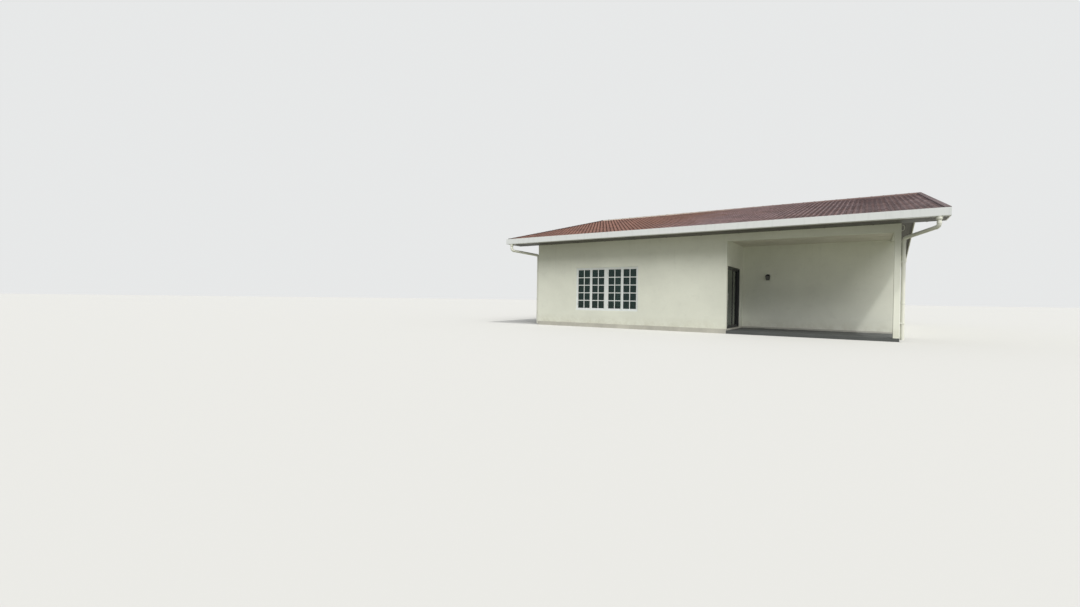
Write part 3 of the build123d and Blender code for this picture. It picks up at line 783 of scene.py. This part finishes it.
JOINTS_AT = (-4.565, 0.0, 4.565)
JOINT_HALF, JOINT_PROUD = 0.014, 0.0016
STRAPS, STRAP_END = 15, 6.5
STRAP_HALF, STRAP_THICK = 0.011, 0.003
STRAP_LIP, STRAP_BEND = 8.574, 8.52  # from the ridge line
STRAP_FOOT_Y, STRAP_FOOT_Z = 8.427, 3.433
joints, straps = Shape(), Shape()
for side, _ in SIDES:
    face, back = side * Y_GUTTER, side * Y_FASCIA
    for x in JOINTS_AT:
        low, high = sorted((face + side * JOINT_PROUD, face))
        bottom = SOFFIT - JOINT_PROUD
        joints.box((x - JOINT_HALF, low, bottom), (x + JOINT_HALF, high, GUTTER_TOP))
        low, high = sorted((face - side * HAIR, back))
        joints.box((x - JOINT_HALF, low, bottom), (x + JOINT_HALF, high, SOFFIT))
    under = [
        (side * STRAP_LIP, GUTTER_TOP + HAIR),
        (side * STRAP_BEND, GUTTER_TOP + HAIR),
        (side * STRAP_FOOT_Y, STRAP_FOOT_Z),
    ]
    section = under + [(y, z + STRAP_THICK) for y, z in reversed(under)]
    for k in range(STRAPS):
        middle = -STRAP_END + k * 2 * STRAP_END / (STRAPS - 1)
        rings = [
            [(x, y, z) for y, z in section] for x in (middle - STRAP_HALF, middle + STRAP_HALF)
        ]
        straps.rings(rings if side > 0 else [ring[::-1] for ring in rings])
joints.make("gutter_joints", gutter_white, "white_gutter", bevel=0.0006)
straps.make("gutter_straps", steel, "white_gutter", bevel=0.0006)

# Sockets round the part's own pipes: at the gutter, the ends of the bends and a coupling

# Repeated from the part. CLIPS holds the heights of the clips' undersides.
PIPE_RADIUS, PIPE_GAP = 0.05, 0.012
X_PIPE, Y_PIPE = X_RIGHT + PIPE_GAP + PIPE_RADIUS, 7.525
OUTLET = Vector((X_VERGE - 0.23, 8.5, SOFFIT))
CRANK_DROP, CRANK_FALL, BEND = 0.255, 0.155, 0.09
CLIP_HALF, CLIPS = PIPE_RADIUS + 0.005, (0.5, 2.2)

SOCKET_RADIUS, SOCKET_LENGTH, SOCKET_OVER_BEND = PIPE_RADIUS + 0.005, 0.036, 0.004
COUPLING_AT, COUPLING_LENGTH = 1.05, 0.055
# Rings round the gutter's outlet: (radius, how far below the gutter they begin and end)
COLLARS = ((0.0755, 0.0035, 0.016), (0.062, 0.060, 0.085))
sockets = Shape()
for side_x, side_y in CORNERS:
    flip = Vector((side_x, side_y, 1))
    outlet = OUTLET * flip
    upper = outlet - up(CRANK_DROP)
    lower = Vector((X_PIPE, Y_PIPE, upper.z - CRANK_FALL)) * flip
    run = (lower - upper).normalized()
    reach = BEND * math.tan(math.acos(run.dot(-up(1))) / 2)
    for corner, way in ((upper, up(1)), (upper, run), (lower, -run), (lower, -up(1))):
        start = corner + way * (reach - SOCKET_OVER_BEND)
        end = start + way * SOCKET_LENGTH
        sockets.rod(start, end, SOCKET_RADIUS, sides=40, ease=0.0015)
    base = Vector((lower.x, lower.y, COUPLING_AT))
    sockets.rod(base, base + up(COUPLING_LENGTH), SOCKET_RADIUS, sides=40, ease=0.0015)
    for radius, top, end in COLLARS:
        sockets.rod(outlet - up(top), outlet - up(end), radius, sides=48, ease=0.002)
sockets.make("pipe_sockets", pipe_white, "white_pipe", smooth=40)

# Screws in the flanks of the pipe clips
SCREW_OUT, SCREW_UP = 0.029, 0.0175  # from the wall, and over the underside of the clip
SCREW_HEAD, SCREW_RADIUS = 0.003, 0.0055
screws = Shape()
for side_x, side_y in CORNERS:
    for level in CLIPS:
        for flank in (-1, 1):
            y = side_y * Y_PIPE + flank * CLIP_HALF
            start = Vector((side_x * (X_RIGHT + SCREW_OUT), y, level + SCREW_UP))
            end = start + Vector((0, flank * SCREW_HEAD, 0))
            screws.rod(start, end, SCREW_RADIUS, sides=12, ease=0.001)
screws.make("pipe_clip_screws", steel, "white_pipe", smooth=40)

# Battens across the soffits
STRIP_DEPTH, STRIP_GAP = 0.007, 0.002  # of battens and cover strips; the gap is at the ends
BATTEN_HALF, BATTEN_STEP, BATTENS = 0.02, 1.2, 12
battens = Shape()
for side, _ in SIDES:
    low, high = sorted((side * (Y_BACK + STRIP_GAP), side * (Y_EAVE - STRIP_GAP)))
    for k in range(BATTENS):
        x = (k - (BATTENS - 1) / 2) * BATTEN_STEP
        battens.box(
            (x - BATTEN_HALF, low, SOFFIT - STRIP_DEPTH), (x + BATTEN_HALF, high, SOFFIT - HAIR)
        )
battens.make("soffit_battens", eave_boards, "painted_timber", bevel=0.001)

# Cover strips over the joints of the porch ceiling: three across it and one along it
STRIP_HALF = 0.018
SHEET_WIDTH, SHEETS = 1.15, 4
y_beam, x_beam = Y_FRONT + WALL, X_RIGHT - WALL
y_middle = (y_beam + Y_PORCH) / 2
under, over = CEILING - STRIP_DEPTH, CEILING - HAIR
strips = Shape()
for k in range(1, SHEETS):
    x = X_PORCH + k * SHEET_WIDTH
    strips.box(
        (x - STRIP_HALF, y_beam + STRIP_GAP, under), (x + STRIP_HALF, Y_PORCH - STRIP_GAP, over)
    )
for k in range(SHEETS):
    x0 = X_PORCH + k * SHEET_WIDTH + (STRIP_HALF + HAIR if k else STRIP_GAP)
    x1 = min(X_PORCH + (k + 1) * SHEET_WIDTH - STRIP_HALF - HAIR, x_beam - STRIP_GAP)
    strips.box((x0, y_middle - STRIP_HALF, under), (x1, y_middle + STRIP_HALF, over))
strips.make("porch_ceiling_strips", ceiling_paint, "ceiling_board", bevel=0.001)

# A painted swan-neck hook on the outer face of the porch side beam
HOOK_FOOT = Vector((X_RIGHT, Y_FRONT + 0.07, 3.09))
HOOK_PLATE, HOOK_PLATE_RADIUS, HOOK_RADIUS = 0.006, 0.028, 0.007
# Its middle line: (out from the beam, up)
NECK = [
    Vector(p)
    for p in (
        (0.004, 0), (0.03, -0.002), (0.052, 0.01), (0.064, 0.035), (0.066, 0.075),
        (0.066, 0.11), (0.058, 0.135), (0.04, 0.148), (0.022, 0.142),
    )
]
hook = Shape()
plate_face = HOOK_FOOT + Vector((HOOK_PLATE, 0, 0))
hook.rod(HOOK_FOOT, plate_face, HOOK_PLATE_RADIUS, sides=28, ease=0.0015)
rings = []
for k, p in enumerate(NECK):
    way = (NECK[min(k + 1, len(NECK) - 1)] - NECK[max(k - 1, 0)]).normalized()
    ring = []
    for c, t in circle(16):
        away, beside = HOOK_RADIUS * c, HOOK_RADIUS * t
        x, z = HOOK_FOOT.x + p.x - way.y * away, HOOK_FOOT.z + p.y + way.x * away
        ring.append((x, HOOK_FOOT.y + beside, z))
    rings.append(ring)
hook.rings(rings)
hook.make("beam_hook", pipe_white, "white_pipe", smooth=50)

# Sliding door: a bar pull on a plate, and the seals of both panes

# Repeated from the part. The last three of them are the x of faces towards the porch.
PANEL_STILE = 0.055
LEAF_Y, LEAF_Z = (-7.399, -6.474), (0.194, 2.2047)
FIXED_Y, FIXED_Z = (-6.521, -5.596), (0.18, 2.205)
LEAF_FACE, LEAF_PANE, FIXED_PANE = 1.414, 1.400, 1.356

PULL_Y = LEAF_Y[0] + PANEL_STILE / 2
PULL_PLATE, PULL_PLATE_HALF, PULL_PLATE_Z = 0.006, 0.014, (1.08, 1.36)
PULL_REACH, PULL_RADIUS, PULL_Z = 0.033, 0.007, (1.10, 1.34)
PULL_POSTS, PULL_POST_RADIUS = (1.12, 1.32), 0.005
POST_SINK = 0.001  # how far a post runs into the plate and the bar
SEAL, SEAL_DEPTH = 0.008, 0.004
pull = Shape()
pull.box(
    (LEAF_FACE, PULL_Y - PULL_PLATE_HALF, PULL_PLATE_Z[0]),
    (LEAF_FACE + PULL_PLATE, PULL_Y + PULL_PLATE_HALF, PULL_PLATE_Z[1]),
)
for z in PULL_POSTS:
    x0, x1 = LEAF_FACE + PULL_PLATE - POST_SINK, LEAF_FACE + PULL_REACH + POST_SINK
    pull.rod((x0, PULL_Y, z), (x1, PULL_Y, z), PULL_POST_RADIUS, sides=16)
ends = [(LEAF_FACE + PULL_REACH, PULL_Y, z) for z in PULL_Z]
pull.rod(*ends, PULL_RADIUS, sides=20, ease=0.002)
pull.make("sliding_door_pull", steel, "dark_aluminium", body="door_leaf", smooth=40)


def pane_seal(x, y_span, z_span):
    """The seal in front of a pane, round the clear opening of its panel."""
    seal = Shape()
    (y0, y1), (z0, z1) = y_span, z_span
    inner = y0 + PANEL_STILE, y1 - PANEL_STILE, z0 + PANEL_STILE, z1 - PANEL_STILE
    for a, b, c, d in border(*inner, SEAL):
        seal.box((x, a, c), (x + SEAL_DEPTH, b, d))
    return seal


leaf_seal = pane_seal(LEAF_PANE, LEAF_Y, LEAF_Z)
leaf_seal.make("sliding_leaf_seal", rubber, "dark_aluminium", body="door_leaf")
fixed_seal = pane_seal(FIXED_PANE, FIXED_Y, FIXED_Z)
fixed_seal.make("sliding_fixed_seal", rubber, "dark_aluminium")

# Rear door: three hinges and a lock rose

DOOR_X, DOOR_FACE = X_RIGHT - 2.6, Y_BACK - 0.06  # its middle and its outer face
DOOR_HINGES = (0.38, 1.2, 1.95)  # heights
DOOR_HINGE_X, DOOR_HINGE_OUT = DOOR_X + 0.39, 0.004
DOOR_HINGE_HALF, DOOR_HINGE_RADIUS = 0.05, 0.007
ROSE_X, ROSE_Z = DOOR_X - 0.335, 1.02
ROSE_DEPTH, ROSE_RADIUS = 0.006, 0.024
hardware = Shape()
for z in DOOR_HINGES:
    pin = Vector((DOOR_HINGE_X, DOOR_FACE + DOOR_HINGE_OUT, z))
    ends = pin - up(DOOR_HINGE_HALF), pin + up(DOOR_HINGE_HALF)
    hardware.rod(*ends, DOOR_HINGE_RADIUS, sides=14, ease=0.001)
ends = [(ROSE_X, y, ROSE_Z) for y in (DOOR_FACE, DOOR_FACE + ROSE_DEPTH)]
hardware.rod(*ends, ROSE_RADIUS, sides=28, ease=0.001)
hardware.make("rear_door_hardware", steel, "door_timber", smooth=40)

# Porch wall light: a lantern with four bars round its glass

LIGHT_GAP, LIGHT_HALF_DEPTH = 0.012, 0.064
LIGHT_X = X_PORCH + 0.86  # the middle of its body
LIGHT_Y = Y_PORCH - LIGHT_GAP - LIGHT_HALF_DEPTH
LIGHT_LOW, LIGHT_HIGH = 1.85, 2.06
PLATE_HALF, PLATE_THICK = 0.048, 0.010
GLASS_LOW, GLASS_HIGH = 1.858, 1.992
# (bottom, top, half width at both, half depth at both) of the glass, and of the metal's
# foot, rim, brim, hood and knob
LIGHT_GLASS = (GLASS_LOW, GLASS_HIGH, 0.041, 0.063, 0.045, 0.057)
LIGHT_METAL = (
    (LIGHT_LOW, GLASS_LOW, 0.046, 0.047, 0.050, 0.051),
    (GLASS_HIGH, 2.0, 0.068, 0.069, 0.062, 0.063),
    (2.0, 2.008, 0.078, 0.080, 0.063, 0.064),
    (2.008, 2.045, 0.078, 0.026, 0.062, 0.022),
    (2.045, LIGHT_HIGH, 0.016, 0.010, 0.016, 0.010),
)
# Ends of the bars, as (x and y from the middle of the body, height), and the arm that
# joins the body to the plate
CAGE_FOOT, CAGE_HEAD, CAGE_RADIUS = (0.043, 0.047, 1.855), (0.065, 0.059, 1.995), 0.0045
ARM_Z, ARM_RADIUS = 2.02, 0.007
ARM_START, ARM_END = Y_PORCH - 0.008, LIGHT_Y + 0.03


def tapered(shape, z0, z1, half0, half1, depth0, depth1):
    """A four-sided stage of the lantern, between two levels."""
    rings = []
    for z, h, d in ((z0, half0, depth0), (z1, half1, depth1)):
        corners = (-h, -d), (h, -d), (h, d), (-h, d)
        rings.append([(LIGHT_X + x, LIGHT_Y + y, z) for x, y in corners])
    shape.rings(rings)


light = Shape()
light.box(
    (LIGHT_X - PLATE_HALF, Y_PORCH - PLATE_THICK, LIGHT_LOW),
    (LIGHT_X + PLATE_HALF, Y_PORCH, LIGHT_HIGH),
)
for sizes in LIGHT_METAL:
    tapered(light, *sizes)
for side_x, side_y in CORNERS:
    ends = [(LIGHT_X + side_x * x, LIGHT_Y + side_y * y, z) for x, y, z in (CAGE_FOOT, CAGE_HEAD)]
    light.rod(*ends, CAGE_RADIUS, sides=10)
light.rod((LIGHT_X, ARM_START, ARM_Z), (LIGHT_X, ARM_END, ARM_Z), ARM_RADIUS, sides=16)
light.make(
    "porch_lantern",
    black_metal,
    "lamp_metal",
    bevel=0.0012,
    smooth=40,
    replaces=["porch_wall_light"],
)
shade = Shape()
tapered(shade, *LIGHT_GLASS)
shade.make("porch_lantern_glass", lamp_glass, "window_glass")


# Floor, light and camera


def seen_rays(tree):
    """1 for rays from the camera and for those in reflections or through glass, else 0."""
    rays = tree.nodes.new("ShaderNodeLightPath")
    value = rays.outputs["Is Camera Ray"]
    for name in ("Is Glossy Ray", "Is Transmission Ray"):
        either = tree.nodes.new("ShaderNodeMath")
        either.operation = "MAXIMUM"
        tree.links.new(value, either.inputs[0])
        tree.links.new(rays.outputs[name], either.inputs[1])
        value = either.outputs[0]
    return value


FLOOR_REACH = 400
FLOOR_DROP = 0.001  # keeps it clear of the undersides that stand on the ground
stage_mesh = bpy.data.meshes.new("floor")
corners = [(x * FLOOR_REACH, y * FLOOR_REACH, 0) for x, y in ((-1, -1), (1, -1), (1, 1), (-1, 1))]
stage_mesh.from_pydata(corners, [], [(0, 1, 2, 3)])
stage = bpy.data.objects.new("floor", stage_mesh)
stage.location.z = -FLOOR_DROP
bpy.context.scene.collection.objects.link(stage)
# Pale where it is seen, and duller in the light that it throws back on the house
ground = Paint("floor_pale", (193, 193, 190), 0.9)
ground.colour(ground.mix(seen_rays(ground.tree), linear((130, 130, 114)), ground.base))
stage_mesh.materials.append(ground.material)
stage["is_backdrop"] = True

SKY_LIGHT, SKY_SEEN = (0.43, 0.44, 0.46, 1), (0.80, 0.81, 0.81, 1)
world = bpy.data.worlds.new("studio")
bpy.context.scene.world = world
world.use_nodes = True
tree = world.node_tree
_, amount, unseen, seen, result = mix_colours(tree)
tree.links.new(seen_rays(tree), amount)
unseen.default_value = SKY_LIGHT
seen.default_value = SKY_SEEN
tree.links.new(result, tree.nodes["Background"].inputs["Color"])

# A broad soft light from the street and a smaller one from high on the right:
# (name, strength, spread in degrees, direction)
LAMPS = (
    ("street_light", 2.75, 42, (-0.8, 1.0, -1.28)),
    ("high_light", 1.8, 3, (-1.75, 1.0, -3.25)),
)
LAMP_COLOUR = (1.0, 0.985, 0.955)
for name, energy, spread, way in LAMPS:
    lamp = bpy.data.lights.new(name, "SUN")
    lamp.energy = energy
    lamp.angle = math.radians(spread)
    lamp.color = LAMP_COLOUR
    lamp_piece = bpy.data.objects.new(name, lamp)
    lamp_piece.rotation_euler = Vector(way).to_track_quat("-Z", "Y").to_euler()
    bpy.context.scene.collection.objects.link(lamp_piece)

# The photo's camera, as fitted to the house: wide-angle, low, across the street
CAMERA_AT = (5.27, -24.24, 1.065)
TURN, TILT, ROLL = math.radians(34.0), math.radians(-0.55), math.radians(0.77)
camera_data = bpy.data.cameras.new("camera")
camera_data.lens = 16.11
camera_data.sensor_width = 36
camera_data.clip_end = 1000
camera = bpy.data.objects.new("camera", camera_data)
level = Matrix.Rotation(math.pi / 2 + TILT, 4, "X")
aim = Matrix.Rotation(TURN, 4, "Z") @ level @ Matrix.Rotation(ROLL, 4, "Z")
camera.matrix_world = Matrix.Translation(CAMERA_AT) @ aim
bpy.context.scene.collection.objects.link(camera)
bpy.context.scene.camera = camera
bpy.context.scene.view_settings.view_transform = "Standard"

low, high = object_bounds()
